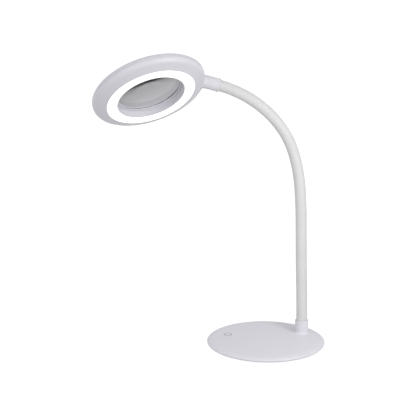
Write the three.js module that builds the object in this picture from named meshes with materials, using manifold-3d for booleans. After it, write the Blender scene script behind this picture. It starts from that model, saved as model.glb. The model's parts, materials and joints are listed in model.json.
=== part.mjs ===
// A magnifying desk lamp: a thin weighted base with a touch switch, a sleeved
// gooseneck, and a ring-shaped head with a lens inside a ring of LEDs.
// Millimetres, +Z up. The origin is the centre of the base on the table, +X runs
// from the head's side of the base towards the neck, and -Y is the user's side.
import * as THREE from 'three';
import { mergeVertices } from 'three/addons/utils/BufferGeometryUtils.js';
import Module from 'manifold-3d';

const wasm = await Module();
wasm.setup();

// ---------- driving dimensions ----------

// Fits
const gap = 0.3; // between pieces that touch
const bendGap = 0.6; // between a neck length's round end and the cup that it turns in

// Base
const baseRadius = 94;
const baseTop = 10.4; // height of the flat top
const baseEdgeWidth = 15; // how far in the top starts to curve down
const baseEdgeHeight = 6.2; // height of the widest line
const baseLipHeight = 4; // the lower edge of the moulding
const baseLipInset = 3.8; // the insets are measured in from the base's radius
const baseWall = 2.2;
const baseEdgeWall = 3; // thicker, where the edge curves down
const plateThickness = 2.4;
const plateFootInset = 10; // to the flat underside of the bottom plate
const padThickness = 1.5;
const padInset = 14;
const ballastThickness = 3.1;
const ballastInset = 11;
const baseScrewInset = 20;
const pilotSkin = 0.4; // of the base's top, left over the screws' holes
const touchInset = 30.2; // to the centre of the touch mark
const touchAzimuth = 161;
const touchRingRadius = 6.6;
const touchRingWidth = 1.2;
const touchRingDepth = 0.5;
const electrodeRadius = 8;
const electrodeThickness = 0.4;
const boardSize = [30, 24, 1.6];
const inletSize = [8.9, 7.4, 3];

// Screws, for the base and for the head
const screwShankRadius = 1.3;
const screwHeadRadius = 2.8;
const screwHeadHeight = 1.1;
const bossWall = 1.9;

// Neck
const neckInset = 26.4; // from the base's radius in to the neck's axis
const neckAzimuth = 28.25;
const neckRadius = 9;
const sleeveWall = 2.5;
const collarWall = 1.35;
const collarHeight = 21; // above the base's top
const collarFlare = 3.5; // fillet at the collar's foot
const collarFloor = 2.3; // above the base's top, under the neck's fitting
const flangeHeight = 2.5; // of the fitting's flange, under the sleeve
const spigotLength = 13.5; // of the fitting's straight end, in the sleeve
const stubRadius = 5; // threaded ends of the neck's fittings
const neckLength = 55.2; // of each of the lengths between two bends
// how far each length bends at rest, from the base up, in degrees
const restBends = [2, -0.7, -0.2, 3.9, 12, 22, 18.3, 17.2];
const nutRadius = 8.6; // across the corners
const nutHeight = 2.8;

// Head, with +Z out of its upper side; heights are from its widest plane
const lensRadius = 52.3;
const boreWall = 1.5; // round the lens
const litWidth = 16; // of the channel that holds the lit ring
const flankWidth = 19.7; // from the channel out to the widest line
const headEdgeRound = 9.05;
const headDepth = 12.9; // from the widest plane down to the lit face
const headWall = 2;
const litStep = 0.8; // ledge behind the lit ring
const channelLip = 0.6; // flat edge of the lit face, outside the channel
const diffuserThickness = 1.5;
const boardDepth = 5.4; // from the lit face up to the LED board
const channelDepth = 7.2; // from the lit face up to the channel's floor
const channelFloor = 1.6;
const channelWall = 1.6;
const ledCount = 24;
const ledSize = [2.8, 3.5, 0.8];
const headScrewCount = 4;

// Lens
const lensEdge = 3; // thickness at its rim
const lensCurve = 260; // radius of both faces
const lensSeat = 0.1; // height of the rim's lower face above the widest plane
const ringWidth = 3.1; // how far the retaining ring covers the rim
const ringHeight = 1.5;
const gasketThickness = 1;

// Socket between neck and head
const socketOverhang = 1.4; // of the socket's outside over the neck's
const socketLip = 0.55; // raised band round its mouth
const socketLipLength = 3;
const socketLength = 25.8; // from the head's widest plane to the mouth, on the socket's axis
const socketInset = 0.3; // from the widest line in to where the socket's axis crosses its plane
const socketSlope = 29.8; // between the socket's axis and the widest plane, in degrees
const swivelRadius = 7.2;
const swivelDepth = 15.7; // how far the neck's end goes into the socket
const swivelWall = 2.2; // of the socket, between the fitting's shoulder and its nut
const swivelTipRadius = 3.2; // thread on the neck's end
const swivelNutRadius = 5.6; // across the corners
const headRoll = 43; // how far the head is turned about the socket at rest, in degrees

// Facets
const roundSides = 36;
const neckSides = 16;
const smallSides = 12;

// ---------- materials ----------

function material(color, roughness, metalness = 0) {
  return new THREE.MeshStandardMaterial({ color, roughness, metalness });
}

const whitePlastic = material('#dedde4', 0.42);
const sleeveVinyl = material('#dddcd6', 0.6);
const steel = material('#9a9da0', 0.35, 1);
const darkRubber = material('#2b2b2d', 0.9);
const circuitBoard = material('#e8e6df', 0.5);
const copper = material('#b87333', 0.35, 1);
const milkyDiffuser = material('#fffef6', 0.5);
const greyMark = material('#b9b7c0', 0.5);
const clearLens = new THREE.MeshStandardMaterial({
  color: '#e6ecef', roughness: 0.03, transparent: true, opacity: 0.35 });

// ---------- solids ----------

const rad = THREE.MathUtils.degToRad;

/** A closed three.js geometry as a manifold-3d solid. */
function solid(geometry) {
  geometry.deleteAttribute('normal');
  geometry.deleteAttribute('uv');
  const merged = mergeVertices(geometry, 1e-3);
  return new wasm.Manifold(new wasm.Mesh({
    numProp: 3,
    vertProperties: new Float32Array(merged.attributes.position.array),
    triVerts: new Uint32Array(merged.index.array),
  }));
}

/** A manifold-3d solid as a three.js mesh with a name. */
function part(name, shape, look) {
  const { vertProperties, triVerts } = shape.getMesh();
  const geometry = new THREE.BufferGeometry();
  geometry.setAttribute('position', new THREE.BufferAttribute(vertProperties, 3));
  geometry.setIndex(new THREE.BufferAttribute(triVerts, 1));
  geometry.computeVertexNormals();
  const mesh = new THREE.Mesh(geometry, look);
  mesh.name = name;
  return mesh;
}

/** Points on an elliptical arc in the (radius, height) plane, angles in degrees. */
function arc(x, y, width, height, from, to, steps) {
  return Array.from({ length: steps + 1 }, (_, i) => {
    const angle = rad(from + (to - from) * i / steps);
    return [x + width * Math.cos(angle), y + height * Math.sin(angle)];
  });
}

/** Turns an outline of [radius, height] points, anticlockwise, about the Z axis. */
function turned(outline, sides = roundSides) {
  const points = outline.map(([x, y]) => new THREE.Vector2(x, y));
  const last = points[points.length - 1];
  if (points[0].x > 0 || last.x > 0) points.push(points[0].clone());
  return solid(new THREE.LatheGeometry(points, sides).rotateX(Math.PI / 2));
}

/** A ring or, with no inner radius, a disc. */
function ring(inner, outer, low, high, sides = roundSides) {
  return turned([[inner, low], [outer, low], [outer, high], [inner, high]], sides);
}

function disc(radius, low, high, sides = roundSides) {
  return ring(0, radius, low, high, sides);
}

function box([x, y, z], low) {
  return solid(new THREE.BoxGeometry(x, y, z).translate(0, 0, low + z / 2));
}

function ball(radius, sides) {
  const sphere = new THREE.SphereGeometry(radius, sides, sides / 2).rotateX(Math.PI / 2);
  return solid(sphere);
}

/** Where copies stand round a circle, as [x, y, angle in degrees]. */
function around(count, radius, first = 0) {
  return Array.from({ length: count }, (_, i) => {
    const angle = first + 360 * i / count;
    return [radius * Math.cos(rad(angle)), radius * Math.sin(rad(angle)), angle];
  });
}

/** A solid copied to several places, as one. */
function copies(shape, places) {
  const all = places.map(([x, y, angle]) => shape.rotate([0, 0, angle]).translate([x, y, 0]));
  return all.reduce((sum, next) => sum.add(next));
}

/** A pan-head screw with its head downwards, its shank starting at height zero. */
function screw(shankLength) {
  const head = screwHeadRadius;
  const shank = screwShankRadius;
  return turned([
    [0, -screwHeadHeight], [head - 0.4, -screwHeadHeight], [head, -screwHeadHeight + 0.4],
    [head, 0], [shank, 0], [shank, shankLength - 1], [0, shankLength],
  ], smallSides);
}

/** A thin hexagonal nut standing on height zero. */
function hexNut(radius, bore) {
  return disc(radius, 0, nutHeight, 6)
    .subtract(disc(bore, -1, nutHeight + 1, smallSides));
}

// ---------- base ----------

const plateLow = padThickness + gap;
const plateTop = plateLow + plateThickness;
const ceiling = baseTop - baseWall;
const edgeStart = baseRadius - baseEdgeWidth;
const baseLipRadius = baseRadius - baseLipInset;
const plateRadius = baseLipRadius - baseWall - gap;
const ledge = baseLipHeight + 1.5; // where the moulding sits on the plate's rim
const bossRadius = screwShankRadius + gap + bossWall;
const bossLow = plateTop + gap;
const screwSeat = plateLow + screwHeadHeight + 2 * gap; // floor of the screws' recesses
const baseScrewPlaces = around(4, baseRadius - baseScrewInset, 45);
const ballastLow = plateTop + gap;
const inletAt = plateRadius - baseWall - 1; // the power inlet's mouth, at the back
const inletTop = plateTop + gap + inletSize[2];
const inletRecess = [inletSize[0] + 4, baseRadius - inletAt + 1, inletTop - plateLow + 1.2];
const [touchX, touchY] = around(1, baseRadius - touchInset, touchAzimuth)[0];
const neckAt = around(1, baseRadius - neckInset, neckAzimuth)[0].slice(0, 2);
const collarRadius = neckRadius + gap + collarWall;
const neckHole = stubRadius + gap;
const nutTop = ceiling - gap;

/** The recess in the back edge that the power plug goes into. */
function inletCut() {
  const recess = box(inletRecess, plateLow - 1);
  return recess.translate([0, inletAt + inletRecess[1] / 2, 0]);
}

function baseTopShell() {
  const moulding = turned([
    [0, ceiling],
    ...arc(edgeStart, ledge, baseEdgeWidth - baseEdgeWall, ceiling - ledge, 90, 0, 3),
    [plateRadius + gap, ledge],
    [plateRadius + gap, baseLipHeight],
    ...arc(baseLipRadius, baseEdgeHeight, baseRadius - baseLipRadius,
      baseEdgeHeight - baseLipHeight, -90, 0, 2),
    ...arc(edgeStart, baseEdgeHeight, baseEdgeWidth, baseTop - baseEdgeHeight, 0, 90, 4).slice(1),
    [0, baseTop],
  ]);
  const foot = collarRadius + collarFlare;
  const collarTop = baseTop + collarHeight;
  const collar = turned([
    [0, ceiling + 0.5], [foot, ceiling + 0.5],
    ...arc(foot, baseTop + collarFlare, collarFlare, collarFlare, 270, 180, 3),
    [collarRadius, collarTop - 0.5], [collarRadius - 0.5, collarTop], [0, collarTop],
  ], 24).translate([...neckAt, 0]);
  const neckBoreCut = disc(neckRadius + gap, baseTop + collarFloor, collarTop + 1, neckSides)
    .add(disc(neckHole, ceiling - 1, collarTop, smallSides))
    .translate([...neckAt, 0]);
  const boss = disc(bossRadius, bossLow, ceiling + 0.5, smallSides);
  const pilot = disc(screwShankRadius + gap, bossLow - 1, ceiling - pilotSkin, smallSides);
  const touchGroove = ring(touchRingRadius - touchRingWidth - gap, touchRingRadius + gap,
    baseTop - touchRingDepth - gap, baseTop + 1, 24).translate([touchX, touchY, 0]);
  return moulding.add(collar).add(copies(boss, baseScrewPlaces))
    .subtract(copies(pilot, baseScrewPlaces))
    .subtract(neckBoreCut).subtract(touchGroove).subtract(inletCut());
}

function baseBottomPlate() {
  const rimTop = ledge - gap;
  const plate = turned([
    [0, plateLow], [baseRadius - plateFootInset, plateLow],
    [plateRadius, baseLipHeight - 0.4], [plateRadius, rimTop],
    [plateRadius - baseWall, rimTop], [plateRadius - baseWall, plateTop], [0, plateTop],
  ]);
  const recess = disc(screwHeadRadius + gap, plateLow - 1, screwSeat, smallSides)
    .add(disc(screwShankRadius + gap, plateLow, plateTop + 1, smallSides));
  return plate.subtract(copies(recess, baseScrewPlaces)).subtract(inletCut());
}

/** The steel weight, with room cut in it for all that stands on the plate. */
function ballastPlate() {
  const high = ballastLow + ballastThickness + 1;
  const low = ballastLow - 1;
  const bosses = copies(disc(bossRadius + 1, low, high, smallSides), baseScrewPlaces);
  const nutHole = disc(nutRadius + 1.5, low, high, smallSides).translate([...neckAt, 0]);
  const boardHole = box([boardSize[0] + 3, boardSize[1] + 3, high - low], low)
    .translate([touchX, touchY, 0]);
  const inletHole = box([inletRecess[0] + 3, inletSize[1] + 6, high - low], low)
    .translate([0, inletAt - inletSize[1] / 2, 0]);
  return disc(baseRadius - ballastInset, ballastLow, ballastLow + ballastThickness)
    .subtract(bosses).subtract(nutHole).subtract(boardHole).subtract(inletHole);
}

/** The touch and dimming board, with its chip, its coil and two terminals. */
function controlBoard() {
  const top = boardSize[2] - 0.1;
  const chip = box([6, 5, 1], top).translate([-8, 2, 0]);
  const coil = box([6, 6, 1.2], top).translate([5, -5, 0]);
  const terminalX = boardSize[0] / 2 - 2.5;
  const terminals = box([3, 4, 1.1], top).translate([terminalX, 6, 0])
    .add(box([3, 4, 1.1], top).translate([terminalX, -6, 0]));
  return box(boardSize, 0).add(chip).add(coil).add(terminals);
}

/** A flat plug socket, open towards +Y, with its contact tongue. */
function powerInlet() {
  const [width, depth, height] = inletSize;
  const mouth = box([width - 0.6, depth - 1.4, height - 0.6], 0.3)
    .translate([0, 1, 0]);
  const tongue = box([width - 2.4, depth - 2.4, 0.7], height / 2 - 0.35)
    .translate([0, -0.8, 0]);
  return box(inletSize, 0).subtract(mouth).add(tongue);
}

function buildBase() {
  const group = new THREE.Group();
  group.add(part('base_top_shell', baseTopShell(), whitePlastic));
  group.add(part('base_bottom_plate', baseBottomPlate(), whitePlastic));
  group.add(part('non_slip_pad', disc(baseRadius - padInset, 0, padThickness), darkRubber));
  group.add(part('ballast_plate', ballastPlate(), steel));

  const board = part('control_board', controlBoard(), circuitBoard);
  board.position.set(touchX, touchY, plateTop + gap);
  const foil = disc(electrodeRadius, -electrodeThickness, 0, 24);
  const electrode = part('touch_electrode', foil, copper);
  electrode.position.set(touchX, touchY, ceiling - gap);
  const markRing = ring(touchRingRadius - touchRingWidth, touchRingRadius, 0,
    touchRingDepth, 24);
  const mark = part('touch_ring', markRing, greyMark);
  mark.position.set(touchX, touchY, baseTop - touchRingDepth);
  const inlet = part('power_inlet', powerInlet(), steel);
  inlet.position.set(0, inletAt - inletSize[1] / 2, plateTop + gap);
  group.add(board, electrode, mark, inlet);

  baseScrewPlaces.forEach(([x, y], i) => {
    const shank = ceiling - pilotSkin - screwSeat;
    const one = part(`base_screw_${i + 1}`, screw(shank), steel);
    one.position.set(x, y, screwSeat - gap);
    group.add(one);
  });
  return group;
}

// ---------- neck ----------

/** The centreline of one length of the neck: up +Z, bending towards -X. */
class NeckLine extends THREE.Curve {
  constructor(bend, from, to) {
    super();
    Object.assign(this, { bend: rad(bend), from, to });
  }

  getPoint(t, target = new THREE.Vector3()) {
    const distance = this.from + (this.to - this.from) * t;
    const angle = this.bend * Math.max(distance, 0) / neckLength;
    const chord = angle ? distance * Math.sin(angle / 2) / (angle / 2) : distance;
    return target.set(-chord * Math.sin(angle / 2), 0, chord * Math.cos(angle / 2));
  }
}

/** A round bar along part of one length of the neck. */
function bar(radius, bend, from, to, sides = neckSides) {
  const outline = new THREE.Shape().absarc(0, 0, radius, 0, 2 * Math.PI);
  return solid(new THREE.ExtrudeGeometry(outline, {
    steps: Math.ceil(Math.sqrt(Math.abs(bend))),
    curveSegments: sides / 2,
    bevelEnabled: false,
    extrudePath: new NeckLine(bend, from, to),
  }));
}

const lengthCount = restBends.length;
const neckBore = neckRadius - sleeveWall;
const sleeveSeat = collarFloor + 2 * gap + flangeHeight; // above the base's top
const collarDepth = collarHeight - sleeveSeat; // sleeve inside the collar
const capThickness = 4; // solid end of each length, under its round end
const coreRadius = neckBore - gap;
const coreStart = neckRadius + bendGap + 0.5;
const spigotRadius = neckBore - 3 * gap; // straight ends of the fittings, in a bent bore
const fittingInNeck = 12; // how far the upper fitting goes into the sleeve
const fittingTop = spigotLength - collarDepth;

/** The sleeve of one length: a round upper end, and a lower end cupped to turn on it. */
function neckSleeve(index) {
  const bend = restBends[index];
  const isFirst = index === 0;
  const isLast = index === lengthCount - 1;
  const low = isFirst ? -collarDepth : 0;
  const outer = bar(neckRadius, bend, low, neckLength);
  const bore = bar(neckBore, bend, low - 1, isLast ? neckLength + 1 : neckLength - capThickness);
  const end = new NeckLine(bend, 0, neckLength).getPoint(1);
  let sleeve = outer;
  if (!isLast) sleeve = sleeve.add(ball(neckRadius, neckSides).translate([end.x, end.y, end.z]));
  sleeve = sleeve.subtract(bore);
  return isFirst ? sleeve : sleeve.subtract(ball(neckRadius + bendGap, neckSides));
}

/** The coiled steel and soft wire inside one length. */
function neckCore(index) {
  const isFirst = index === 0;
  const isLast = index === lengthCount - 1;
  const from = isFirst ? fittingTop + gap : coreStart;
  const to = isLast ? neckLength - fittingInNeck - 4 * gap : neckLength - capThickness - gap;
  return bar(coreRadius, restBends[index], from, to, smallSides);
}

/** The threaded fitting that clamps the neck to the base. */
function neckBaseFitting() {
  const shoulder = -collarHeight + collarFloor + gap;
  const foot = ceiling - nutHeight - 2 * gap - baseTop - collarHeight;
  return turned([
    [0, foot], [stubRadius, foot], [stubRadius, shoulder],
    [neckRadius - 0.1, shoulder], [neckRadius - 0.1, -collarDepth - gap],
    [spigotRadius, -collarDepth - gap], [spigotRadius, fittingTop], [0, fittingTop],
  ], smallSides);
}

const washerThickness = 0.8;
const wallDepth = swivelDepth + gap; // from the socket's mouth
const washerLow = wallDepth + swivelWall + gap;
const nutLow = washerLow + washerThickness + gap;
const tipEnd = nutLow + nutHeight + 1;

/** The fitting at the neck's upper end, which the head turns on. */
function neckEndFitting() {
  return turned([
    [0, -fittingInNeck], [spigotRadius, -fittingInNeck], [spigotRadius, gap],
    [swivelRadius, gap], [swivelRadius, swivelDepth], [swivelTipRadius, swivelDepth],
    [swivelTipRadius, tipEnd], [0, tipEnd],
  ], smallSides);
}

function buildNeck() {
  const root = new THREE.Group();
  root.position.set(...neckAt, baseTop + collarHeight);
  root.add(part('neck_base_fitting', neckBaseFitting(), steel));
  const nut = part('neck_nut', hexNut(nutRadius, neckHole), steel);
  nut.position.z = nutTop - nutHeight - baseTop - collarHeight;
  root.add(nut);

  let length = root;
  for (let i = 0; i < lengthCount; i += 1) {
    length.add(part(`neck_sleeve_${i + 1}`, neckSleeve(i), sleeveVinyl));
    length.add(part(`neck_core_${i + 1}`, neckCore(i), steel));
    const next = new THREE.Group();
    next.position.copy(new NeckLine(restBends[i], 0, neckLength).getPoint(1));
    next.rotation.y = -rad(restBends[i]);
    length.add(next);
    length = next;
  }

  const tipHole = swivelTipRadius + gap;
  const washer = part('swivel_washer', ring(tipHole, swivelNutRadius, 0, washerThickness,
    smallSides), steel);
  washer.position.z = washerLow;
  const swivelNut = part('swivel_nut', hexNut(swivelNutRadius, tipHole), steel);
  swivelNut.position.z = nutLow;
  length.add(part('neck_end_fitting', neckEndFitting(), steel), washer, swivelNut);
  length.add(buildSwivel());
  return root;
}

// ---------- head ----------

const boreRadius = lensRadius + gap;
const litInner = boreRadius + boreWall;
const litOuter = litInner + litWidth;
const headRadius = litOuter + flankWidth;
const litFace = -headDepth;
const channelTop = litFace + channelDepth;
const floorTop = channelTop + channelFloor;
const edgeCentre = headRadius - headEdgeRound;
const headTop = headEdgeRound;
const innerRound = headEdgeRound - headWall;
const gasketLow = lensSeat + lensEdge + gap;
const seatHeight = gasketLow + gasketThickness; // top of the bore's wall
const shelf = seatHeight + gap; // underside of the upper shell's lip
const upperOpening = lensRadius - ringWidth + 0.5;
const screwCircle = (litInner + litOuter) / 2;
const headScrewPlaces = around(headScrewCount, screwCircle, 45);
const parting = gap / 2;

// The flank is the tangent from the lit face's edge to the round of the rim.
const flankFoot = litOuter + channelLip;
const footToCentre = Math.hypot(edgeCentre - flankFoot, headDepth);
const footAngle = THREE.MathUtils.radToDeg(Math.atan2(-headDepth, flankFoot - edgeCentre));
const halfTangent = THREE.MathUtils.radToDeg(Math.acos(headEdgeRound / footToCentre));
const flankAngle = footAngle + halfTangent;

/** A point on the rim's round, or inside it, at the angle where the flank meets it. */
function flankPoint(radius) {
  return arc(edgeCentre, 0, radius, radius, flankAngle, flankAngle, 1)[0];
}

/** The flank's inner line at a given radius from the head's axis. */
function innerFlankHeight(radius) {
  const [x, y] = flankPoint(innerRound);
  return y + (x - radius) / Math.tan(rad(flankAngle));
}

function angleAtParting(radius) {
  return THREE.MathUtils.radToDeg(Math.asin(parting / radius));
}

const socketRadius = neckRadius + socketOverhang;

/** The socket's outside with its domed inner end, grown by a clearance, on its own axis. */
function socketSolid(grow) {
  const radius = socketRadius + grow;
  const band = radius + socketLip;
  const bandStart = socketLength - socketLipLength;
  return turned([
    ...arc(0, 0, radius, radius, -90, 0, 4),
    [radius, bandStart], [band, bandStart + 0.5], [band, socketLength - 0.4],
    [band - 0.4, socketLength], [0, socketLength],
  ], 20);
}

/** Moves a solid on the socket's axis to its place in the head. */
function atSocket(shape) {
  return shape.rotate([0, 90 + socketSlope, 0]).translate([headRadius - socketInset, 0, 0]);
}

/** The room for the swivel's nut, open to the inside of the head but not to the outside. */
function nutPocket() {
  const round = disc(swivelNutRadius + 1.5 * gap, -socketRadius - 1,
    socketLength - wallDepth - swivelWall, 20);
  const inHead = turned([
    [0, litFace + headWall], [flankFoot, litFace + headWall],
    ...arc(edgeCentre, 0, innerRound, innerRound, flankAngle, 90, 8), [0, innerRound],
  ]);
  return atSocket(round).intersect(atSocket(socketSolid(-headWall)).add(inHead));
}

function headBottomShell() {
  const ledgeTop = litFace + diffuserThickness + gap;
  const ringWall = litOuter + channelWall;
  const profile = [
    [boreRadius, litFace], [litInner, litFace],
    [litInner, ledgeTop], [litInner + litStep, ledgeTop],
    [litInner + litStep, channelTop], [litOuter - litStep, channelTop],
    [litOuter - litStep, ledgeTop], [litOuter, ledgeTop],
    [litOuter, litFace], [flankFoot, litFace],
    ...arc(edgeCentre, 0, headEdgeRound, headEdgeRound, flankAngle,
      -angleAtParting(headEdgeRound), 4),
    ...arc(edgeCentre, 0, innerRound, innerRound, -angleAtParting(innerRound),
      flankAngle, 3),
    [ringWall, innerFlankHeight(ringWall)], [ringWall, floorTop],
    [litInner, floorTop], [litInner, seatHeight], [boreRadius, seatHeight],
  ];
  const shell = turned(profile);
  const wallAt = socketLength - wallDepth;
  const swivelBore = disc(swivelRadius + gap, wallAt, socketLength + 1, 20)
    .add(disc(swivelTipRadius + gap, wallAt - swivelWall - 1, socketLength, smallSides));
  const pilot = disc(screwShankRadius + gap, channelTop - 1, floorTop + 1, smallSides);
  return shell.add(atSocket(socketSolid(0)))
    .subtract(atSocket(swivelBore)).subtract(nutPocket())
    .subtract(copies(pilot, headScrewPlaces));
}

function headTopShell() {
  const corner = 2;
  const shell = turned([
    [upperOpening, shelf], [litInner + gap, shelf], [litInner + gap, innerRound],
    ...arc(edgeCentre, 0, innerRound, innerRound, 90, angleAtParting(innerRound), 3),
    ...arc(edgeCentre, 0, headEdgeRound, headEdgeRound, angleAtParting(headEdgeRound), 90, 4),
    ...arc(upperOpening + corner, headTop - corner, corner, corner, 90, 180, 2),
  ]);
  const bossTop = innerRound + 0.5;
  const boss = disc(bossRadius, floorTop + gap, bossTop, smallSides);
  const pilot = disc(screwShankRadius + gap, floorTop, bossTop - 1.5, smallSides);
  return shell.add(copies(boss, headScrewPlaces))
    .subtract(copies(pilot, headScrewPlaces))
    .subtract(atSocket(socketSolid(gap)));
}

/** The ring-shaped LED board, facing down, with its LEDs and holes for the screw heads. */
function ledBoard() {
  const low = litFace + boardDepth;
  const leds = copies(box(ledSize, low - ledSize[2]), around(ledCount, screwCircle));
  const hole = disc(screwHeadRadius + gap, low - 1, channelTop, smallSides);
  return ring(litInner + litStep + gap, litOuter - litStep - gap, low, channelTop - gap, 40)
    .add(leds.translate([0, 0, 0.05])).subtract(copies(hole, headScrewPlaces));
}

/** The magnifying lens: both faces curved, inside a flat rim that the ring clamps. */
function magnifyingLens() {
  const clear = lensRadius - ringWidth;
  const rise = lensCurve - Math.sqrt(lensCurve ** 2 - clear ** 2);
  const span = THREE.MathUtils.radToDeg(Math.asin(clear / lensCurve));
  const top = lensSeat + lensEdge;
  const upper = arc(0, top + rise - lensCurve, lensCurve, lensCurve, 90 - span, 90, 3);
  const lower = arc(0, lensSeat - rise + lensCurve, lensCurve, lensCurve, 270, 270 + span, 3);
  lower[0][0] = 0;
  upper[upper.length - 1][0] = 0;
  return turned([...lower, [lensRadius, lensSeat], [lensRadius, top], ...upper]);
}

function buildHead() {
  const group = new THREE.Group();
  group.add(part('head_bottom_shell', headBottomShell(), whitePlastic));
  group.add(part('head_top_shell', headTopShell(), whitePlastic));
  group.add(part('led_board', ledBoard(), circuitBoard));
  group.add(part('diffuser_ring', ring(litInner + gap, litOuter - gap, litFace,
    litFace + diffuserThickness), milkyDiffuser));
  group.add(part('lens', magnifyingLens(), clearLens));
  group.add(part('lens_gasket', ring(upperOpening + 0.2, lensRadius, gasketLow,
    gasketLow + gasketThickness - gap), darkRubber));
  group.add(part('lens_retaining_ring', ring(lensRadius - ringWidth, lensRadius,
    lensSeat - gap - ringHeight, lensSeat - gap), whitePlastic));
  headScrewPlaces.forEach(([x, y], i) => {
    const shank = innerRound - 1 - gap - channelTop;
    const one = part(`head_screw_${i + 1}`, screw(shank), steel);
    one.position.set(x, y, channelTop - gap);
    group.add(one);
  });
  return group;
}

/** The head on its swivel, seen from the neck's end, where +Z runs into the socket. */
function buildSwivel() {
  const swivel = new THREE.Group();
  swivel.rotation.z = rad(headRoll);
  const tilted = new THREE.Group();
  tilted.rotation.y = rad(90 - socketSlope);
  tilted.position.z = socketLength;
  const head = buildHead();
  head.position.x = socketInset - headRadius;
  tilted.add(head);
  swivel.add(tilted);
  return swivel;
}

// ---------- the whole lamp ----------

const lamp = new THREE.Group();
lamp.add(buildBase());
lamp.add(buildNeck());

export default lamp;
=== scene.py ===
# A magnifying desk lamp: a thin weighted base with a touch mark, a sleeved gooseneck that
# arches over from the base's edge, and a ring-shaped head with a lens inside a lit ring.
# Metres in the scene; each section's own sizes are in millimetres. +Z is up, -Y the user.
import json
import math

import bmesh
import bpy
from mathutils import Matrix, Vector


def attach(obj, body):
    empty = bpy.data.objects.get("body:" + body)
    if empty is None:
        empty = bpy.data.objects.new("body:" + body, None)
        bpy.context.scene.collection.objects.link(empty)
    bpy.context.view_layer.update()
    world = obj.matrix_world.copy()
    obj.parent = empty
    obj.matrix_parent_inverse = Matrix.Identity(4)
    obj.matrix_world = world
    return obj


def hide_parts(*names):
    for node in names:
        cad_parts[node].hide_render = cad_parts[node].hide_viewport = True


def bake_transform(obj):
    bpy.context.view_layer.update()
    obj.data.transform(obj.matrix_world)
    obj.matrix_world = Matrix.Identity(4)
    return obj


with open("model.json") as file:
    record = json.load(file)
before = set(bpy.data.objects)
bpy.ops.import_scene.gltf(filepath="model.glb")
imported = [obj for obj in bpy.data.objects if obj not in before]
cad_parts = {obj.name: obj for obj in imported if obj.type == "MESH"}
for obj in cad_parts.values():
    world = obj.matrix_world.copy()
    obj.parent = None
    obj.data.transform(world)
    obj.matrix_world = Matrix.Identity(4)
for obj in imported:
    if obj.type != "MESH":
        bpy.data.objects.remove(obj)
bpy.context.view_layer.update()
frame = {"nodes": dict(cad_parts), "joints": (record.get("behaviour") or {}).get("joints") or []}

# ---- Camera ----
# It stands at eye height in front of the lamp, a little to its left, and looks slightly
# down through a long lens, so the base shows as a thin ellipse.
camera_data = bpy.data.cameras.new("camera")
camera_data.lens = 107.9
camera_data.sensor_width = 36
camera = bpy.data.objects.new("camera", camera_data)
camera.location = (-0.0925, -1.8935, 0.684)
camera.rotation_euler = (math.radians(90 - 13.6), 0, 0)
bpy.context.collection.objects.link(camera)
bpy.context.scene.camera = camera
bpy.context.scene.view_settings.view_transform = "Standard"


# ---- Floor and studio light ----
# A seamless white paper floor, white walls all round that are brightest above and behind
# the camera, softboxes at the front left and the back, and a small one at the front right.
def linear(code):
    """A colour from its sRGB hex code, turned to linear, with full opacity."""
    steps = [int(code[i:i + 2], 16) / 255 for i in (1, 3, 5)]
    return (*(s / 12.92 if s <= 0.04045 else ((s + 0.055) / 1.055) ** 2.4 for s in steps), 1)


def add_node(tree, kind, settings=None, **links):
    """Adds a node to a tree with its settings. A link's name is an input's identifier with
    its spaces as underscores, and its value is an output to join or a plain value."""
    node = tree.nodes.new(kind)
    for key, value in (settings or {}).items():
        setattr(node, key, value)
    for key, value in links.items():
        names = {socket.identifier.replace(" ", "_"): socket for socket in node.inputs}
        if isinstance(value, bpy.types.NodeSocket):
            tree.links.new(value, names[key])
        else:
            names[key].default_value = value
    return node


def new_material(name):
    """A material and its shader node, with nothing else in its tree but the output."""
    material = bpy.data.materials.new(name)
    material.use_nodes = True
    return material, material.node_tree, material.node_tree.nodes["Principled BSDF"]


floor_mesh = bpy.data.meshes.new("floor")
floor_reach = 300  # far enough to hide the horizon
corners = [(-1, -1), (1, -1), (1, 1), (-1, 1)]
floor_mesh.from_pydata([(x * floor_reach, y * floor_reach, 0) for x, y in corners], [],
                       [(0, 1, 2, 3)])
floor = bpy.data.objects.new("floor", floor_mesh)
bpy.context.collection.objects.link(floor)
paper, _, paper_shader = new_material("white_backdrop_paper")
paper_shader.inputs["Base Color"].default_value = linear("#6a6a6a")
paper_shader.inputs["Roughness"].default_value = 0.9
paper_shader.inputs["Emission Color"].default_value = linear("#ffffff")
paper_shader.inputs["Emission Strength"].default_value = 0.95
floor_mesh.materials.append(paper)
# the paper is bright to the eye, but what it throws back on the lamp comes from the world
floor.visible_diffuse = False
floor.visible_transmission = False

walls_strength = 0.6
walls_lean = (-0.136, -0.183, 0.195)  # how much brighter the walls get along each axis
world = bpy.data.worlds.new("white_studio")
world.use_nodes = True
walls = world.node_tree
direction = add_node(walls, "ShaderNodeTexCoord").outputs["Generated"]
lean = add_node(walls, "ShaderNodeVectorMath", {"operation": "DOT_PRODUCT"},
                Vector=direction, Vector_001=walls_lean)
shade = add_node(walls, "ShaderNodeMath", {"operation": "ADD"},
                 Value=lean.outputs["Value"], Value_001=walls_strength)
walls.links.new(shade.outputs[0], walls.nodes["Background"].inputs["Strength"])
walls.nodes["Background"].inputs["Color"].default_value = linear("#fcfcfe")
bpy.context.scene.world = world

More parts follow.
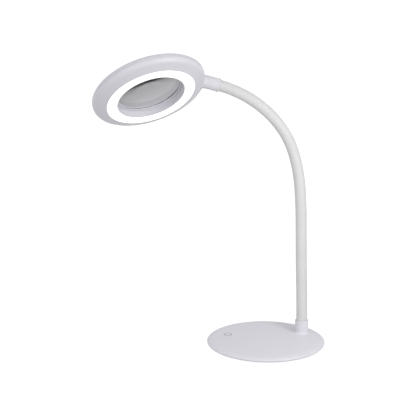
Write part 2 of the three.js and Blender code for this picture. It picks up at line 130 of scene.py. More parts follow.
# each softbox: where it stands, what it faces, its width and its power in watts
for name, place, target, width, power in (
        ("softbox_left", (-1.2, -1.8, 0.9), (0, 0, 0.2), 1.2, 3.6),
        ("softbox_near", (0.42, -0.5, 0.5), (0, 0, 0.05), 0.3, 2.8),
        ("softbox_back", (0.3, 2.2, 0.5), (-0.1, 0, 0.35), 1.4, 8)):
    light = bpy.data.lights.new(name, "AREA")
    light.shape = "SQUARE"
    light.size = width
    light.energy = power
    softbox = bpy.data.objects.new(name, light)
    softbox.location = place
    facing = Vector(target) - Vector(place)
    softbox.rotation_euler = facing.to_track_quat("-Z", "Y").to_euler()
    softbox.visible_camera = False
    softbox.visible_transmission = False
    softbox.visible_glossy = place[1] < 0  # from behind it would only glare off the base
    bpy.context.collection.objects.link(softbox)


# ---- Base moulding with the neck's collar ----
# The upper half of the base and the collar that holds the neck, injection-moulded in one
# piece in a satin white ABS. Its edge rolls over in one long curve to a small lower lip.
base_radius = 94
base_top = 10.4
edge_width = 15
edge_height = 7.1
lip_height = 4
lip_radius = 89
base_wall = 2.2
plate_rim_radius = 88
ledge_height = 5.5
neck_at = Vector((59.55, 32))
collar_radius = 10.65
collar_top = 31.4
collar_fillet = 3.5
collar_easing = 0.9
collar_bore = 9.3
collar_floor = 12.7
fitting_hole = 5.3
touch_at = Vector((-60.32, 20.77))
touch_radius = 6.6
touch_width = 1.2
groove_depth = 0.55
inlet_recess = (12.9, 84.5, 1.2, 8.7)  # its width, its inner end, its lowest and highest


def satin_abs(name, light_code, dark_code):
    """White ABS, injection-moulded with a fine spark-eroded texture: a satin surface whose
    highlights are soft and broad, with a slight cool cast."""
    material, tree, shader = new_material(name)
    place = add_node(tree, "ShaderNodeTexCoord").outputs["Object"]
    # broad, very faint drifts of shade, as a large moulding has
    drift = add_node(tree, "ShaderNodeTexNoise", Vector=place, Scale=14, Detail=2)
    tone = add_node(tree, "ShaderNodeMix", {"data_type": "RGBA"},
                    Factor_Float=drift.outputs["Fac"],
                    A_Color=linear(dark_code), B_Color=linear(light_code))
    # spark-eroded grain of about 0.1 mm, drawn 0.7 mm wide so that it shows
    grain = add_node(tree, "ShaderNodeTexNoise", Vector=place, Scale=1 / 0.0007, Detail=2)
    gloss = add_node(tree, "ShaderNodeMapRange", Value=grain.outputs["Fac"],
                     From_Min=0.3, From_Max=0.7, To_Min=0.36, To_Max=0.46)
    relief = add_node(tree, "ShaderNodeBump", Height=grain.outputs["Fac"],
                      Strength=0.08, Distance=0.00006)
    tree.links.new(tone.outputs[2], shader.inputs["Base Color"])
    tree.links.new(gloss.outputs[0], shader.inputs["Roughness"])
    tree.links.new(relief.outputs[0], shader.inputs["Normal"])
    shader.inputs["IOR"].default_value = 1.53
    return material


def curve(centre, width, height, first, last, steps):
    """Points on an elliptical arc in the (radius, height) plane, angles in degrees."""
    angles = [math.radians(first + (last - first) * i / steps) for i in range(steps + 1)]
    return [(centre[0] + width * math.cos(a), centre[1] + height * math.sin(a)) for a in angles]


def loft(rings):
    """Joins rings of points into a surface; a ring of one point is a pole. Where neither
    end is a pole, the last ring joins the first, so the surface is always closed."""
    bm = bmesh.new()
    rows = [[bm.verts.new(point) for point in points] for points in rings]
    closing = [] if len(rows[0]) == 1 else [rows[0]]
    for low, high in zip(rows, rows[1:] + closing):
        count = max(len(low), len(high))
        for i in range(count):
            ring = [low[i - 1] if len(low) > 1 else low[0], low[i % len(low)],
                    high[i % len(high)], high[i - 1] if len(high) > 1 else high[0]]
            bm.faces.new(list(dict.fromkeys(ring)))
    bmesh.ops.recalc_face_normals(bm, faces=bm.faces)
    return bm


def circle(centre, radius, height, sides):
    """Points round a circle, or one point where its radius is nothing."""
    if radius < 1e-6:
        return [(centre[0], centre[1], height)]
    steps = [2 * math.pi * i / sides for i in range(sides)]
    return [(centre[0] + radius * math.cos(a), centre[1] + radius * math.sin(a), height)
            for a in steps]


def turned(outline, sides=192, centre=(0, 0)):
    """A mesh turned about the Z axis from an outline of (radius, height) points."""
    return loft([circle(centre, radius, height, sides) for radius, height in outline])


def eased(outline, radius, steps=3):
    """A closed outline with its sharp corners rounded, as a mould's edges are."""
    points = []
    around = zip(outline[-1:] + outline[:-1], outline, outline[1:] + outline[:1])
    for before, here, after in around:
        back, on = Vector(before) - Vector(here), Vector(after) - Vector(here)
        turn = math.pi - back.angle(on) if here[0] > 0 else 0
        if turn < math.radians(25):
            points.append(here)
            continue
        reach = min(radius * math.tan(turn / 2), 0.45 * back.length, 0.45 * on.length)
        start = Vector(here) + back.normalized() * reach
        end = Vector(here) + on.normalized() * reach
        for i in range(steps + 1):
            t = i / steps
            points.append(tuple(start * (1 - t) ** 2 + Vector(here) * 2 * t * (1 - t)
                                + end * t * t))
    return points


def piece(name, bm, material, place=Matrix(), cutters=()):
    """Puts a mesh in millimetres where it belongs, cuts the cutters out of it, and shades
    it smooth with its true flat faces kept flat."""
    mesh = bpy.data.meshes.new(name)
    bm.to_mesh(mesh)
    bm.free()
    mesh.transform(place @ Matrix.Scale(0.001, 4))
    for face in mesh.polygons:
        face.use_smooth = True
    mesh.materials.append(material)
    thing = bpy.data.objects.new(name, mesh)
    bpy.context.collection.objects.link(thing)
    for tool in cutters:
        cut = thing.modifiers.new("cut", "BOOLEAN")
        cut.object = tool
        cut.solver = "EXACT"
    settle(thing)
    for tool in cutters:
        bpy.data.objects.remove(tool)
    thing.data.set_sharp_from_angle(angle=math.radians(35))
    flats = thing.modifiers.new("flats", "WEIGHTED_NORMAL")
    flats.keep_sharp = True
    settle(thing)
    return thing


def settle(thing):
    """Replaces an object's mesh by what its modifiers make of it, and removes them."""
    now = thing.evaluated_get(bpy.context.evaluated_depsgraph_get())
    made = bpy.data.meshes.new_from_object(now)
    name = thing.data.name
    thing.modifiers.clear()
    thing.data = made
    made.name = name


def cutter(name, bm, place=Matrix()):
    """A solid that is cut out of a piece, and then removed."""
    mesh = bpy.data.meshes.new(name)
    bm.to_mesh(mesh)
    bm.free()
    mesh.transform(place @ Matrix.Scale(0.001, 4))
    tool = bpy.data.objects.new(name, mesh)
    bpy.context.collection.objects.link(tool)
    return tool


def block(width, inner, outer, low, high):
    """A box across the Y axis, from one distance along it to another."""
    half = width / 2
    ends = [[(-half, y, low), (half, y, low), (half, y, high), (-half, y, high)]
            for y in (inner, outer)]
    bm = bmesh.new()
    near, far = [[bm.verts.new(point) for point in end] for end in ends]
    bm.faces.new(near)
    bm.faces.new(far)
    for i in range(4):
        bm.faces.new([near[i - 1], near[i], far[i], far[i - 1]])
    bmesh.ops.recalc_face_normals(bm, faces=bm.faces)
    return bm


def base_height(x, y):
    """The height of the base's top at a point, falling along the edge's curve."""
    past = max(math.hypot(x, y) - (base_radius - edge_width), 0) / edge_width
    return edge_height + (base_top - edge_height) * math.sqrt(max(1 - past * past, 0))


white_abs = satin_abs("white_abs_satin", "#d7d6dc", "#d4d3d9")
base_sides = 240
foot_radius = collar_radius + collar_fillet
morph_radius = base_radius - edge_width + 3.5  # just outside the collar's foot

rings = [circle(neck_at, collar_bore, collar_floor, base_sides),
         circle(neck_at, collar_bore, collar_top - 0.4, base_sides),
         circle(neck_at, collar_bore + 0.4, collar_top, base_sides)]
for radius, height in curve((collar_radius - collar_easing, collar_top - collar_easing),
                            collar_easing, collar_easing, 90, 0, 5):
    rings.append(circle(neck_at, radius, height, base_sides))
for radius, height in curve((foot_radius, base_top + collar_fillet),
                            collar_fillet, collar_fillet, 180, 270, 10)[:-1]:
    fall = 1 - (height - base_top) / collar_fillet
    rings.append([(x, y, height + (base_height(x, y) - base_top) * fall)
                  for x, y, _ in circle(neck_at, radius, 0, base_sides)])
morph_steps = 26
for i in range(morph_steps + 1):
    t = (i / morph_steps) ** 1.5
    radius = foot_radius + (morph_radius - foot_radius) * t
    rings.append([(x, y, base_height(x, y))
                  for x, y, _ in circle(neck_at * (1 - t), radius, 0, base_sides)])
over = curve((base_radius - edge_width, edge_height), edge_width, base_top - edge_height,
             76, 0, 16)
under = curve((lip_radius, edge_height), base_radius - lip_radius, edge_height - lip_height,
              0, -90, 6)[1:]
inner = [(plate_rim_radius + 0.3, lip_height), (plate_rim_radius, lip_height + 0.3),
         (plate_rim_radius, ledge_height)]
inner_curve = curve((base_radius - edge_width, ledge_height), edge_width - base_wall - 0.8,
                    base_top - base_wall - ledge_height, 0, 90, 8)
for radius, height in over + under + inner + inner_curve:
    rings.append(circle((0, 0), radius, height, base_sides))
for i in range(1, 9):
    t = i / 8
    radius = base_radius - edge_width + (fitting_hole - base_radius + edge_width) * t
    rings.append(circle(neck_at * t, radius, base_top - base_wall, base_sides))
rings.append(circle(neck_at, fitting_hole, collar_floor, base_sides))

groove = turned([(touch_radius - touch_width, base_top - groove_depth),
                 (touch_radius, base_top - groove_depth),
                 (touch_radius, base_top + 1), (touch_radius - touch_width, base_top + 1)],
                64, touch_at)
inlet_width, inlet_end, inlet_low, inlet_high = inlet_recess
base_shell = piece("base_moulding", loft(rings), white_abs, cutters=[
    cutter("groove", groove),
    cutter("recess", block(inlet_width, inlet_end, base_radius + 1, inlet_low, inlet_high))])
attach(base_shell, "base")
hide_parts("base_top_shell")

# ---- Bottom plate ----
# A flat plate moulded in the same ABS, with a bevelled edge that sits up inside the base
# moulding's lip. Four screws hold it to the moulding from below.
plate_low = 1.8
plate_top = 4.2
plate_foot_radius = 84
plate_radius = 87.7
screw_circle = 74
screw_recess_radius = 3.1
screw_hole_radius = 1.6
plate_outline = eased([(0, plate_low), (plate_foot_radius, plate_low), (plate_radius, 3.6),
                       (plate_radius, 5.2), (plate_radius - base_wall, 5.2),
                       (plate_radius - base_wall, plate_top), (0, plate_top)], 0.3)
recesses = []
for i in range(4):
    angle = math.radians(45 + 90 * i)
    at = (screw_circle * math.cos(angle), screw_circle * math.sin(angle))
    recesses.append(cutter("recess", turned([(0, 1), (screw_recess_radius, 1),
                                             (screw_recess_radius, 3.5), (0, 3.5)], 32, at)))
    recesses.append(cutter("hole", turned([
        (0, 3), (screw_hole_radius, 3), (screw_hole_radius, 5), (0, 5)], 24, at)))
recesses.append(cutter("recess", block(inlet_width, inlet_end, base_radius + 1,
                                       inlet_low, inlet_high)))
bottom_plate = piece("bottom_plate", turned(plate_outline), white_abs, cutters=recesses)
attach(bottom_plate, "base")
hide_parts("base_bottom_plate")

# ---- Non-slip pad ----
# A disc of dark EVA foam rubber, cut from sheet and glued under the bottom plate, with
# fine closed cells on its face.
pad_radius = 80
pad_thickness = 1.5
eva, eva_tree, eva_shader = new_material("eva_foam_rubber")
place = add_node(eva_tree, "ShaderNodeTexCoord").outputs["Object"]
# closed cells of about 0.3 mm, drawn 1.2 mm wide so that they show
cells = add_node(eva_tree, "ShaderNodeTexVoronoi", Vector=place, Scale=1 / 0.0012)
shade = add_node(eva_tree, "ShaderNodeMix", {"data_type": "RGBA"},
                 Factor_Float=cells.outputs["Distance"],
                 A_Color=linear("#2d2d30"), B_Color=linear("#252527"))
relief = add_node(eva_tree, "ShaderNodeBump", Height=cells.outputs["Distance"],
                  Strength=0.3, Distance=0.0002)
eva_tree.links.new(shade.outputs[2], eva_shader.inputs["Base Color"])
eva_tree.links.new(relief.outputs[0], eva_shader.inputs["Normal"])
eva_shader.inputs["Roughness"].default_value = 0.85
pad_outline = eased([(0, 0), (pad_radius, 0), (pad_radius, pad_thickness),
                     (0, pad_thickness)], 0.3)
pad = piece("foot_pad", turned(pad_outline), eva)
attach(pad, "base")
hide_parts("non_slip_pad")

# ---- Touch mark ----
# A thin grey ring, moulded separately and pressed into a groove in the base's top. The
# skin of the base inside it is the touch switch.
mark_plastic, mark_tree, mark_shader = new_material("grey_abs_inlay")
place = add_node(mark_tree, "ShaderNodeTexCoord").outputs["Object"]
drift = add_node(mark_tree, "ShaderNodeTexNoise", Vector=place, Scale=400, Detail=2)
tone = add_node(mark_tree, "ShaderNodeMix", {"data_type": "RGBA"},
                Factor_Float=drift.outputs["Fac"],
                A_Color=linear("#7f7d88"), B_Color=linear("#878590"))
mark_tree.links.new(tone.outputs[2], mark_shader.inputs["Base Color"])
mark_shader.inputs["Roughness"].default_value = 0.5
inset = 0.02
mark_outline = eased([(touch_radius - touch_width + inset, base_top - groove_depth + inset),
                      (touch_radius - inset, base_top - groove_depth + inset),
                      (touch_radius - inset, base_top + 0.04),
                      (touch_radius - touch_width + inset, base_top + 0.04)], 0.1)
mark = piece("touch_mark", turned(mark_outline, 64, touch_at), mark_plastic)
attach(mark, "base")
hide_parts("touch_ring")


# ---- Pieces inside the base, the neck and the head ----
# The weight, the boards, the inlet, the cores, the fittings and the screws stay as the
# frame has them, and get their real finishes.
def give(material, *names):
    """Puts a finish on pieces that stay as the frame has them."""
    for name in names:
        node = frame["nodes"][name]
        node.data.materials.clear()
        node.data.materials.append(material)


def plated_steel(name, light_code, dark_code, roughness):
    """Mild steel, zinc-plated: a cool grey metal, faintly mottled where it was dipped."""
    material, tree, shader = new_material(name)
    place = add_node(tree, "ShaderNodeTexCoord").outputs["Object"]
    # crystals of the plating, about 2 mm across
    mottle = add_node(tree, "ShaderNodeTexNoise", Vector=place, Scale=1 / 0.002, Detail=3)
    tone = add_node(tree, "ShaderNodeMix", {"data_type": "RGBA"},
                    Factor_Float=mottle.outputs["Fac"],
                    A_Color=linear(dark_code), B_Color=linear(light_code))
    gloss = add_node(tree, "ShaderNodeMapRange", Value=mottle.outputs["Fac"],
                     To_Min=roughness - 0.08, To_Max=roughness + 0.08)
    tree.links.new(tone.outputs[2], shader.inputs["Base Color"])
    tree.links.new(gloss.outputs[0], shader.inputs["Roughness"])
    shader.inputs["Metallic"].default_value = 1
    return material


names = list(frame["nodes"])
zinc = plated_steel("zinc_plated_steel", "#c3c6ca", "#a9adb2", 0.34)
give(zinc, *[name for name in names if "screw" in name or "nut" in name], "swivel_washer",
     "neck_base_fitting", "neck_end_fitting", "power_inlet")
give(plated_steel("bare_steel_plate", "#8f9296", "#75787c", 0.5), "ballast_plate")
give(plated_steel("coiled_spring_steel", "#8a8d92", "#6e7176", 0.42),
     *[name for name in names if name.startswith("neck_core")])

board_mask, board_tree, board_shader = new_material("white_solder_mask")
place = add_node(board_tree, "ShaderNodeTexCoord").outputs["Object"]
# the glass weave of the board, 0.5 mm a thread, shows faintly through the mask
weave = add_node(board_tree, "ShaderNodeTexWave", {"bands_direction": "DIAGONAL"},
                 Vector=place, Scale=0.3 / 0.0005, Distortion=1)
tone = add_node(board_tree, "ShaderNodeMix", {"data_type": "RGBA"},
                Factor_Float=weave.outputs["Fac"],
                A_Color=linear("#e4e2da"), B_Color=linear("#eceae3"))
board_tree.links.new(tone.outputs[2], board_shader.inputs["Base Color"])
board_shader.inputs["Roughness"].default_value = 0.35
give(board_mask, "control_board", "led_board")

foil, foil_tree, foil_shader = new_material("copper_foil")
place = add_node(foil_tree, "ShaderNodeTexCoord").outputs["Object"]
tarnish = add_node(foil_tree, "ShaderNodeTexNoise", Vector=place, Scale=250, Detail=4)
tone = add_node(foil_tree, "ShaderNodeMix", {"data_type": "RGBA"},
                Factor_Float=tarnish.outputs["Fac"],
                A_Color=linear("#b8764a"), B_Color=linear("#cf8f62"))
foil_tree.links.new(tone.outputs[2], foil_shader.inputs["Base Color"])
foil_shader.inputs["Metallic"].default_value = 1
foil_shader.inputs["Roughness"].default_value = 0.32
give(foil, "touch_electrode")

# silicone rubber, moulded: a soft mid grey with a dull bloom
silicone, silicone_tree, silicone_shader = new_material("grey_silicone_rubber")
place = add_node(silicone_tree, "ShaderNodeTexCoord").outputs["Object"]
bloom = add_node(silicone_tree, "ShaderNodeTexNoise", Vector=place, Scale=120, Detail=3)
tone = add_node(silicone_tree, "ShaderNodeMix", {"data_type": "RGBA"},
                Factor_Float=bloom.outputs["Fac"],
                A_Color=linear("#8b8b90"), B_Color=linear("#97979b"))
silicone_tree.links.new(tone.outputs[2], silicone_shader.inputs["Base Color"])
silicone_shader.inputs["Roughness"].default_value = 0.6
give(silicone, "lens_gasket")

# ---- Gooseneck sleeve ----
# A soft white vinyl tube extruded over the coiled steel core. It takes the core's turns as
# faint ribs all along. Each stretch spans one bend, from mid-length to mid-length.
sleeve_radius = 9
rib_depth = 0.2
ribs_in_length = 22
points_in_rib = 6
sleeve_sides = 48
bend_spacing = 55.2

vinyl, vinyl_tree, vinyl_shader = new_material("white_vinyl_sleeve")
# Soft PVC, extruded: warmer and more matt than the mouldings, a little translucent, with
# fine dust and die lines that only show as a slight change of gloss.
place = add_node(vinyl_tree, "ShaderNodeTexCoord").outputs["Object"]
drift = add_node(vinyl_tree, "ShaderNodeTexNoise", Vector=place, Scale=30, Detail=3)
tone = add_node(vinyl_tree, "ShaderNodeMix", {"data_type": "RGBA"},
                Factor_Float=drift.outputs["Fac"],
                A_Color=linear("#cbcbca"), B_Color=linear("#d1d1d0"))
grain = add_node(vinyl_tree, "ShaderNodeTexNoise", Vector=place, Scale=1 / 0.0008, Detail=2)
gloss = add_node(vinyl_tree, "ShaderNodeMapRange", Value=grain.outputs["Fac"],
                 From_Min=0.3, From_Max=0.7, To_Min=0.5, To_Max=0.62)
relief = add_node(vinyl_tree, "ShaderNodeBump", Height=grain.outputs["Fac"],
                  Strength=0.1, Distance=0.00005)
vinyl_tree.links.new(tone.outputs[2], vinyl_shader.inputs["Base Color"])
vinyl_tree.links.new(gloss.outputs[0], vinyl_shader.inputs["Roughness"])
vinyl_tree.links.new(relief.outputs[0], vinyl_shader.inputs["Normal"])
vinyl_shader.inputs["IOR"].default_value = 1.5

joints = {joint["name"]: joint for joint in frame["joints"]}
neck_joints = [joint for joint in frame["joints"] if joint["name"].startswith("neck_")]
swivel = joints["head_swivel"]


def arc_between(start, heading, end, steps):
    """Points on the arc that leaves start along heading and reaches end, and its heading
    there. The first point is left out."""
    chord = end - start
    half = heading.angle(chord)
    if half < 1e-5:
        return [start + chord * i / steps for i in range(1, steps + 1)], heading
    axis = heading.cross(chord).normalized()
    radius = chord.length / (2 * math.sin(half))
    points = []
    for i in range(1, steps + 1):
        turn = half * i / steps
        points.append(start + Matrix.Rotation(turn, 3, axis) @ heading
                      * (2 * radius * math.sin(turn)))
    return points, Matrix.Rotation(2 * half, 3, axis) @ heading


# the neck's centreline, one point for each rib, from inside the collar to the socket
half_ribs = ribs_in_length // 2
foot_ribs = 6
foot = Vector((neck_at.x, neck_at.y, collar_top)) / 1000
rib_pitch = bend_spacing / 1000 / ribs_in_length
centreline = [foot - Vector((0, 0, rib_pitch * i)) for i in range(foot_ribs, -1, -1)]
heading = Vector((0, 0, 1))
for joint in neck_joints + [swivel]:
    more, heading = arc_between(centreline[-1], heading, Vector(joint["pos_m"]), ribs_in_length)
    centreline += more

sleeve_tree = bpy.data.node_groups.new("ribbed_sleeve", "GeometryNodeTree")
sockets = {}
for name, kind in (("Centreline", "Geometry"), ("Rib pitch", "Float"), ("Rib depth", "Float"),
                   ("Sleeve radius", "Float"), ("Points in a rib", "Int"), ("Sides", "Int"),
                   ("Vinyl", "Material")):
    sockets[name] = sleeve_tree.interface.new_socket(
        name, in_out="INPUT", socket_type=f"NodeSocket{kind}").identifier
sleeve_out = sleeve_tree.interface.new_socket(
    "Sleeve", in_out="OUTPUT", socket_type="NodeSocketGeometry").identifier
given = add_node(sleeve_tree, "NodeGroupInput").outputs
as_curve = add_node(sleeve_tree, "GeometryNodeMeshToCurve", Mesh=given["Centreline"])
length = add_node(sleeve_tree, "GeometryNodeCurveLength", Curve=as_curve.outputs[0])
rib_count = add_node(sleeve_tree, "ShaderNodeMath", {"operation": "DIVIDE"},
                     Value=length.outputs[0], Value_001=given["Rib pitch"])
whole_ribs = add_node(sleeve_tree, "ShaderNodeMath", {"operation": "ROUND"},
                      Value=rib_count.outputs[0])
point_count = add_node(sleeve_tree, "ShaderNodeMath", {"operation": "MULTIPLY_ADD"},
                       Value=whole_ribs.outputs[0], Value_001=given["Points in a rib"],
                       Value_002=1)
fine = add_node(sleeve_tree, "GeometryNodeResampleCurve", Curve=as_curve.outputs[0],
                Count=point_count.outputs[0])
along = add_node(sleeve_tree, "GeometryNodeSplineParameter")
turns = add_node(sleeve_tree, "ShaderNodeMath", {"operation": "MULTIPLY"},
                 Value=along.outputs["Factor"], Value_001=whole_ribs.outputs[0])
phase = add_node(sleeve_tree, "ShaderNodeMath", {"operation": "MULTIPLY"},
                 Value=turns.outputs[0], Value_001=2 * math.pi)
wave = add_node(sleeve_tree, "ShaderNodeMath", {"operation": "COSINE"}, Value=phase.outputs[0])
dip = add_node(sleeve_tree, "ShaderNodeMath", {"operation": "MULTIPLY_ADD"},
               Value=wave.outputs[0], Value_001=-0.5, Value_002=0.5)
sunk = add_node(sleeve_tree, "ShaderNodeMath", {"operation": "MULTIPLY"},
                Value=dip.outputs[0], Value_001=given["Rib depth"])
reach = add_node(sleeve_tree, "ShaderNodeMath", {"operation": "SUBTRACT"},
                 Value=given["Sleeve radius"], Value_001=sunk.outputs[0])
section = add_node(sleeve_tree, "GeometryNodeCurvePrimitiveCircle", Resolution=given["Sides"],
                   Radius=1)
tube = add_node(sleeve_tree, "GeometryNodeCurveToMesh", Curve=fine.outputs[0],
                Profile_Curve=section.outputs[0], Scale=reach.outputs[0], Fill_Caps=True)
whole = add_node(sleeve_tree, "GeometryNodeRealizeInstances", Geometry=tube.outputs[0])
dressed = add_node(sleeve_tree, "GeometryNodeSetMaterial", Geometry=whole.outputs[0],
                   Material=given["Vinyl"])
add_node(sleeve_tree, "NodeGroupOutput", **{sleeve_out: dressed.outputs[0]})


def sleeve_stretch(title, first, last):
    """The sleeve along part of the centreline, between two of its points."""
    path = bpy.data.meshes.new(title)
    points = centreline[first:last + 1]
    path.from_pydata(points, [(i, i + 1) for i in range(len(points) - 1)], [])
    stretch = bpy.data.objects.new(title, path)
    bpy.context.collection.objects.link(stretch)
    ribs = stretch.modifiers.new("ribs", "NODES")
    ribs.node_group = sleeve_tree
    for name, value in (("Rib pitch", rib_pitch), ("Rib depth", rib_depth / 1000),
                        ("Sleeve radius", sleeve_radius / 1000),
                        ("Points in a rib", points_in_rib), ("Sides", sleeve_sides),
                        ("Vinyl", vinyl)):
        ribs[sockets[name]] = value
    settle(stretch)
    for face in stretch.data.polygons:
        face.use_smooth = True
    stretch.data.set_sharp_from_angle(angle=math.radians(50))
    return stretch


foot_end = foot_ribs + half_ribs
sleeve_foot = sleeve_stretch("sleeve_foot", 0, foot_end)
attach(sleeve_foot, "base")
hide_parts("neck_sleeve_1")
for i, joint in enumerate(neck_joints):
    start = foot_end + ribs_in_length * i
    stretch = sleeve_stretch(f"sleeve_at_{joint['name']}", start, start + ribs_in_length)
    at = Vector(joint["pos_m"])
    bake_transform(stretch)
    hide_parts(f"neck_sleeve_{i + 2}")
sleeve_tip = sleeve_stretch("sleeve_tip", len(centreline) - 1 - half_ribs, len(centreline) - 1)
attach(sleeve_tip, neck_joints[-1]["child"])

# ---- Lower shell of the head ----
# One ABS moulding: the flank and half the rolled rim, the channel for the light, the bore
# that the lens sits in, and the socket that takes the neck, all flowing into each other.
head_radius = 89.8
rim_round = 9.05
lit_face = -12.9
head_wall = 2
lit_outer = 70.1
lit_inner = 54.1
bore_radius = 52.6
flank_foot = 70.7
channel_top = -5.7
channel_floor = -4.1
lens_shelf = 4.4
parting = 0.06
socket_radius = 10.4
socket_lip = 0.55
socket_lip_length = 3
socket_length = 25.8
socket_reach = 89.5
socket_slope = 29.8
swivel_bore = 7.5
swivel_floor = 9.8
nut_bore = 6.05
nut_room = (1.8, 7.6)  # along the socket, for the nut and its washer
tip_bore = 3.5
wire_bore = 2.5
step_depth = 1.8  # of the diffuser's seat, behind the lit face
step_width = 0.8
channel_wall = 1.6
fillet_reach = 4.5  # how far off the socket starts to flow into the shell

# The head's own frame comes from its lit ring and its lens, which share its axis, and
# from the swivel, which lies on its local +X side.
centres = {}
for name in ("diffuser_ring", "lens"):
    corners = [vertex.co for vertex in frame["nodes"][name].data.vertices]
    centres[name] = sum(corners, Vector()) / len(corners)
lens_middle = 1.6
head_up = (centres["lens"] - centres["diffuser_ring"]).normalized()
head_at = centres["lens"] - head_up * lens_middle / 1000
towards_neck = Vector(swivel["pos_m"]) - head_at
head_x = (towards_neck - head_up * towards_neck.dot(head_up)).normalized()
head_place = Matrix.Translation(head_at) @ Matrix(
    (head_x, head_up.cross(head_x), head_up)).transposed().to_4x4()

rim_centre = head_radius - rim_round
rim_inner = rim_round - head_wall
# the flank is the tangent from the lit face's edge to the round of the rim
foot_to_centre = math.hypot(rim_centre - flank_foot, lit_face)
flank_angle = math.degrees(math.atan2(lit_face, flank_foot - rim_centre)
                           + math.acos(rim_round / foot_to_centre))


def inner_flank(radius):
    """The height of the flank's inner side at a radius."""
    angle = math.radians(flank_angle)
    return rim_inner * math.sin(angle) + (
        rim_centre + rim_inner * math.cos(angle) - radius) / math.tan(angle)


ledge = lit_face + step_depth
ring_wall = lit_outer + channel_wall
lower_outline = [(bore_radius, lit_face), (lit_inner, lit_face), (lit_inner, ledge),
                 (lit_inner + step_width, ledge), (lit_inner + step_width, channel_top),
                 (lit_outer - step_width, channel_top), (lit_outer - step_width, ledge),
                 (lit_outer, ledge), (lit_outer, lit_face), (flank_foot, lit_face)]
flank_curve = curve((rim_centre, 0), rim_round, rim_round, flank_angle, -1, 14)
flank_start, flank_end = Vector(lower_outline[-1]), Vector(flank_curve[0])
lower_outline += [tuple(flank_start.lerp(flank_end, i / 10)) for i in range(1, 10)]
lower_outline += flank_curve
lower_outline += [(head_radius - head_wall, -parting)]
lower_outline += curve((rim_centre, 0), rim_inner, rim_inner, -2, flank_angle, 6)
lower_outline += [(ring_wall, inner_flank(ring_wall)), (ring_wall, channel_floor),
                  (lit_inner, channel_floor), (lit_inner, lens_shelf),
                  (bore_radius, lens_shelf)]
lower_outline = eased(lower_outline, 0.3)

socket_outline = curve((0, 0), socket_radius, socket_radius, -90, 0, 12)
socket_outline[0] = (0, -socket_radius)
band = socket_radius + socket_lip
band_start = socket_length - socket_lip_length
socket_outline += [(socket_radius, z) for z in range(2, 22, 2)]
socket_outline += [(socket_radius, band_start), (band, band_start + 0.7),
                   (band, socket_length - 0.5), (band - 0.5, socket_length),
                   (0, socket_length)]
socket_place = (Matrix.Translation((socket_reach, 0, 0))
                @ Matrix.Rotation(math.radians(90 + socket_slope), 4, "Y"))


def joined(name, bm, other, place):
    """Adds one solid to another, and gives back the mesh of the whole."""
    whole = cutter(name, bm)
    added = cutter("added", other, place)
    join = whole.modifiers.new("join", "BOOLEAN")
    join.operation = "UNION"
    join.solver = "EXACT"
    join.object = added
    settle(whole)
    result = bmesh.new()
    result.from_mesh(whole.data)
    result.transform(Matrix.Scale(1000, 4))
    bpy.data.objects.remove(added)
    bpy.data.objects.remove(whole)
    return result


def head_distance(point):
    """How far a point is outside the head's flat top, its round rim or its flank."""
    away, height = math.hypot(point.x, point.y) - rim_centre, point.z
    angle = math.radians(flank_angle)
    if away <= 0 < height:
        return height - rim_round
    if away > 0 and math.atan2(height, away) >= angle:
        return math.hypot(away, height) - rim_round
    return away * math.cos(angle) + height * math.sin(angle) - rim_round


def socket_distance(point):
    """How far a point is outside the socket's round dome and straight side."""
    local = socket_place.inverted() @ point
    along = max(local.z, 0)
    return math.hypot(local.x, local.y, local.z - along) - socket_radius


def blended_distance(point):
    """How far a point is outside the head and the socket once they flow together."""
    one, two = head_distance(point), socket_distance(point)
    share = max(fillet_reach - abs(one - two), 0) / fillet_reach
    return min(one, two) - share * share * fillet_reach / 4


def near_the_join(vert):
    """Whether a vertex is on the outside, and close enough for the fillet to move it."""
    ends = head_distance(vert.co), socket_distance(vert.co)
    return min(ends) > -0.05 and max(ends) < fillet_reach * 1.3


def flowing(bm, longest, rounds):
    """Lets the socket flow into the shell: near the line where they meet, the outer face
    is cut up until its edges are short, and moved out onto the blended surface."""
    for _ in range(rounds):
        edges = [edge for edge in bm.edges if edge.calc_length() > longest
                 and near_the_join(edge.verts[0]) and near_the_join(edge.verts[1])]
        bmesh.ops.subdivide_edges(bm, edges=edges, cuts=1)
        bmesh.ops.triangulate(bm, faces=[face for face in bm.faces if len(face.verts) > 4])
    step = 0.05
    steps = [Vector((step, 0, 0)), Vector((0, step, 0)), Vector((0, 0, step))]
    for vert in [vert for vert in bm.verts if near_the_join(vert)]:
        for _ in range(4):
            value = blended_distance(vert.co)
            slope = Vector([blended_distance(vert.co + along) - value
                            for along in steps]) / step
            if value > -1e-3 or slope.length < 0.2:
                break
            vert.co -= slope * (value / slope.length_squared)
    bmesh.ops.recalc_face_normals(bm, faces=bm.faces)


metric_socket = Matrix.Scale(0.001, 4) @ socket_place @ Matrix.Scale(1000, 4)
lower = joined("lower", turned(lower_outline, 320), turned(socket_outline, 64), metric_socket)
flowing(lower, 0.9, 3)
bores = [cutter("bore", turned(outline, 48), head_place @ metric_socket) for outline in (
    [(0, swivel_floor), (swivel_bore, swivel_floor), (swivel_bore, socket_length + 1),
     (0, socket_length + 1)],
    [(0, 6), (tip_bore, 6), (tip_bore, 12), (0, 12)],
    [(0, nut_room[0]), (nut_bore, nut_room[0]), (nut_bore, nut_room[1]), (0, nut_room[1])],
    [(0, -12), (wire_bore, -12), (wire_bore, 3), (0, 3)])]
lower_shell = piece("head_lower_shell", lower, white_abs, head_place, bores)
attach(lower_shell, "head")
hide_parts("head_bottom_shell")

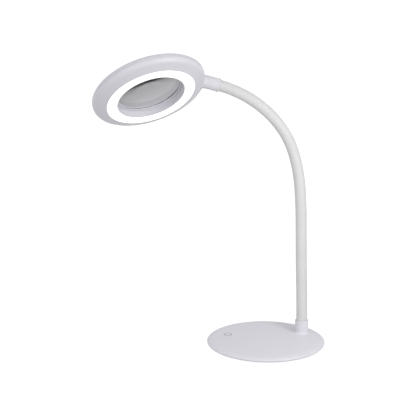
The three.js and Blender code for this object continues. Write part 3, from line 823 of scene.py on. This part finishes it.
# ---- Upper shell of the head ----
# The lid of the head in the same ABS: a flat ring with the upper half of the rolled rim,
# and a lip that holds the lens down. It closes on the lower shell at the widest line.
upper_opening = 49.7
upper_shelf = 4.7
lip_corner = 2
upper_outline = [(upper_opening, upper_shelf), (lit_inner + 0.3, upper_shelf),
                 (lit_inner + 0.3, rim_inner)]
upper_outline += curve((rim_centre, 0), rim_inner, rim_inner, 90, 2, 8)
upper_outline += [(head_radius - head_wall, parting), (head_radius - 0.3, parting)]
upper_outline += curve((rim_centre, 0), rim_round, rim_round, 1, 90, 16)
upper_outline += curve((upper_opening + lip_corner, rim_round - lip_corner),
                       lip_corner, lip_corner, 90, 180, 6)
clearance = 0.3
socket_room = [(radius + clearance if radius > 0 else 0, height)
               for radius, height in socket_outline]
socket_room[0] = (0, -socket_radius - clearance)
upper_shell = piece("head_upper_shell", turned(upper_outline, 320), white_abs, head_place,
                    [cutter("room", turned(socket_room, 64), head_place @ metric_socket)])
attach(upper_shell, "head")
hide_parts("head_top_shell")

# ---- Diffuser ----
# A flat ring of milky polycarbonate, pressed into the channel's mouth. The LEDs behind it
# light it evenly from edge to edge, a touch warm.
diffuser_thickness = 1.5
milky, milky_tree, milky_shader = new_material("milky_polycarbonate_lit")
place = add_node(milky_tree, "ShaderNodeTexCoord").outputs["Object"]
glow = add_node(milky_tree, "ShaderNodeTexNoise", Vector=place, Scale=60, Detail=1)
warmth = add_node(milky_tree, "ShaderNodeMix", {"data_type": "RGBA"},
                  Factor_Float=glow.outputs["Fac"],
                  A_Color=linear("#fffef8"), B_Color=linear("#fffffb"))
milky_tree.links.new(warmth.outputs[2], milky_shader.inputs["Emission Color"])
milky_tree.links.new(warmth.outputs[2], milky_shader.inputs["Base Color"])
milky_shader.inputs["Emission Strength"].default_value = 0.75
milky_shader.inputs["Roughness"].default_value = 0.4
milky_shader.inputs["IOR"].default_value = 1.58
diffuser_outline = eased([(lit_inner + 0.15, lit_face), (lit_outer - 0.15, lit_face),
                          (lit_outer - 0.15, lit_face + diffuser_thickness),
                          (lit_inner + 0.15, lit_face + diffuser_thickness)], 0.2)
diffuser = piece("diffuser", turned(diffuser_outline, 256), milky, head_place)
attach(diffuser, "head")
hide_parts("diffuser_ring")

# ---- Lens ----
# A ground and polished lens of crown glass, curved on both faces inside a flat rim. It is
# faintly grey, and so smooth that its reflections stay sharp.
lens_radius = 52.3
lens_clear = 49.2
lens_low = 0.1
lens_high = 3.1
lens_curve = 330
rise = lens_curve - math.sqrt(lens_curve ** 2 - lens_clear ** 2)
span = math.degrees(math.asin(lens_clear / lens_curve))
lens_outline = curve((0, lens_low - rise + lens_curve), lens_curve, lens_curve,
                     270, 270 + span, 20)
lens_outline += [(lens_radius - 0.3, lens_low), (lens_radius, lens_low + 0.3),
                 (lens_radius, lens_high - 0.3), (lens_radius - 0.3, lens_high)]
lens_outline += curve((0, lens_high + rise - lens_curve), lens_curve, lens_curve,
                      90 - span, 90, 20)
lens_outline[0] = (0, lens_outline[0][1])
lens_outline[-1] = (0, lens_outline[-1][1])
glass, glass_tree, glass_shader = new_material("crown_glass")
place = add_node(glass_tree, "ShaderNodeTexCoord").outputs["Object"]
smear = add_node(glass_tree, "ShaderNodeTexNoise", Vector=place, Scale=25, Detail=2)
tint = add_node(glass_tree, "ShaderNodeMix", {"data_type": "RGBA"},
                Factor_Float=smear.outputs["Fac"],
                A_Color=linear("#f3f2f6"), B_Color=linear("#f9f8fb"))
glass_tree.links.new(tint.outputs[2], glass_shader.inputs["Base Color"])
glass_shader.inputs["Transmission Weight"].default_value = 1
glass_shader.inputs["Roughness"].default_value = 0
glass_shader.inputs["IOR"].default_value = 1.52
lens = piece("lens_glass", turned(lens_outline, 192), glass, head_place)
lens.visible_shadow = False  # what lies behind clear glass is lit through it
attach(lens, "head")
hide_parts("lens")

# ---- Retaining ring ----
# A flat ring of the same ABS that snaps into the bore under the lens's rim.
keeper_outline = eased([(lens_clear, -1.7), (lens_radius, -1.7), (lens_radius, -0.2),
                        (lens_clear, -0.2)], 0.35)
keeper = piece("lens_keeper", turned(keeper_outline, 256), white_abs, head_place)
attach(keeper, "head")
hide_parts("lens_retaining_ring")
